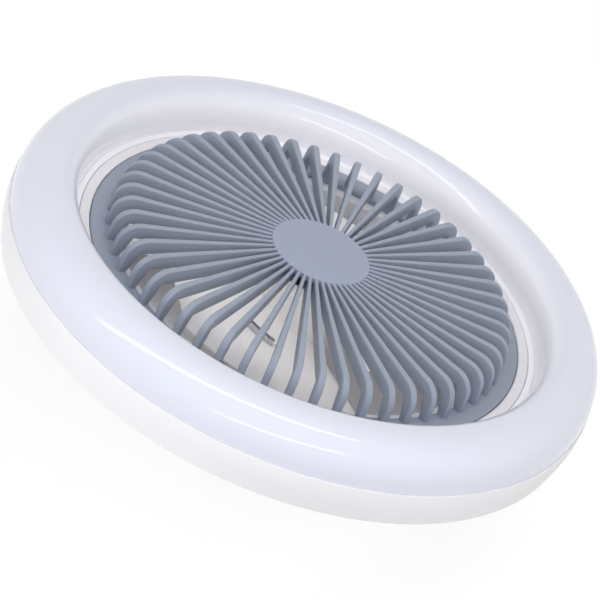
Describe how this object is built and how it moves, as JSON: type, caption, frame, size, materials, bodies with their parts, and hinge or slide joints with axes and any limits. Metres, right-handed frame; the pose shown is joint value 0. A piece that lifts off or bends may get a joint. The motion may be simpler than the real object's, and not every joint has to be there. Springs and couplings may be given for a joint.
{
  "type": "socket fan light",
  "caption": "Round ceiling light that screws into a lamp socket, with a milky ring diffuser round a ribbed blue-grey grille and a small fan behind it.",
  "frame": {"origin": "on the axis, in the plane of the neck's shoulder, where the screw cap's shell seats", "axes": "+Z along the axis towards the centre contact, so the light and the fan face down, towards -Z"},
  "size_m": [0.2612, 0.2612, 0.1148],
  "materials": {
    "white_plastic": "satin white plastic",
    "milky_plastic": "glossy milky light diffuser",
    "blue_grey_plastic": "satin blue-grey plastic",
    "nickel_plating": "nickel-plated thin sheet",
    "black_insulator": "black moulded insulator",
    "tinned_contact": "tinned contact",
    "bright_steel": "bright zinc-plated steel",
    "white_board": "white aluminium-core board",
    "green_board": "green printed board",
    "copper_winding": "enamelled copper wire",
    "core_steel": "laminated electrical steel",
    "bell_steel": "pressed steel",
    "ferrite_magnet": "matt dark magnet",
    "sintered_bronze": "sintered bronze",
    "pale_plastic": "pale satin plastic",
    "cast_aluminium": "die-cast aluminium",
    "yellow_tape": "yellow winding tape",
    "capacitor_sleeve": "black sleeve",
    "film_capacitor_case": "dark red case",
    "red_lead": "red lead insulation",
    "black_lead": "black lead insulation"
  },
  "bodies": {
    "housing": {"screw_shell": "nickel_plating", "cap_insulator": "black_insulator", "centre_contact": "tinned_contact", "neck_housing": "white_plastic", "rear_housing": "white_plastic", "front_housing": "white_plastic", "light_board": "white_board", "diffuser": "milky_plastic", "grille": "blue_grey_plastic", "case_screw_1": "bright_steel", "case_screw_2": "bright_steel", "case_screw_3": "bright_steel", "case_screw_4": "bright_steel", "light_board_screw_1": "bright_steel", "light_board_screw_2": "bright_steel", "light_board_screw_3": "bright_steel", "light_board_screw_4": "bright_steel", "pedestal_screw_1": "bright_steel", "pedestal_screw_2": "bright_steel", "pedestal_screw_3": "bright_steel", "neck_screw_1": "bright_steel", "neck_screw_2": "bright_steel", "neck_screw_3": "bright_steel", "motor_pedestal": "cast_aluminium", "motor_board": "green_board", "bearing_tube": "bright_steel", "front_bearing": "sintered_bronze", "rear_bearing": "sintered_bronze", "stator_core": "core_steel", "coil_1": "copper_winding", "coil_2": "copper_winding", "coil_3": "copper_winding", "coil_4": "copper_winding", "coil_5": "copper_winding", "coil_6": "copper_winding", "driver_board": "green_board", "transformer": "yellow_tape", "film_capacitor": "film_capacitor_case", "bulk_capacitor": "capacitor_sleeve", "inductor": "capacitor_sleeve", "live_lead": "red_lead", "neutral_lead": "black_lead", "motor_lead_red": "red_lead", "motor_lead_black": "black_lead", "light_lead_red": "red_lead", "light_lead_black": "black_lead"},
    "rotor": {"rotor_bell": "bell_steel", "magnet_ring": "ferrite_magnet", "motor_shaft": "bright_steel", "shaft_clip": "bright_steel", "impeller": "pale_plastic", "balance_clip": "bright_steel", "impeller_screw_1": "bright_steel", "impeller_screw_2": "bright_steel", "impeller_screw_3": "bright_steel"}
  },
  "joints": [
    {"name": "fan_spin", "type": "hinge", "parent": "housing", "child": "rotor", "pos_m": [0, 0, -0.0715], "axis": [0, 0, 1], "continuous": true}
  ]
}
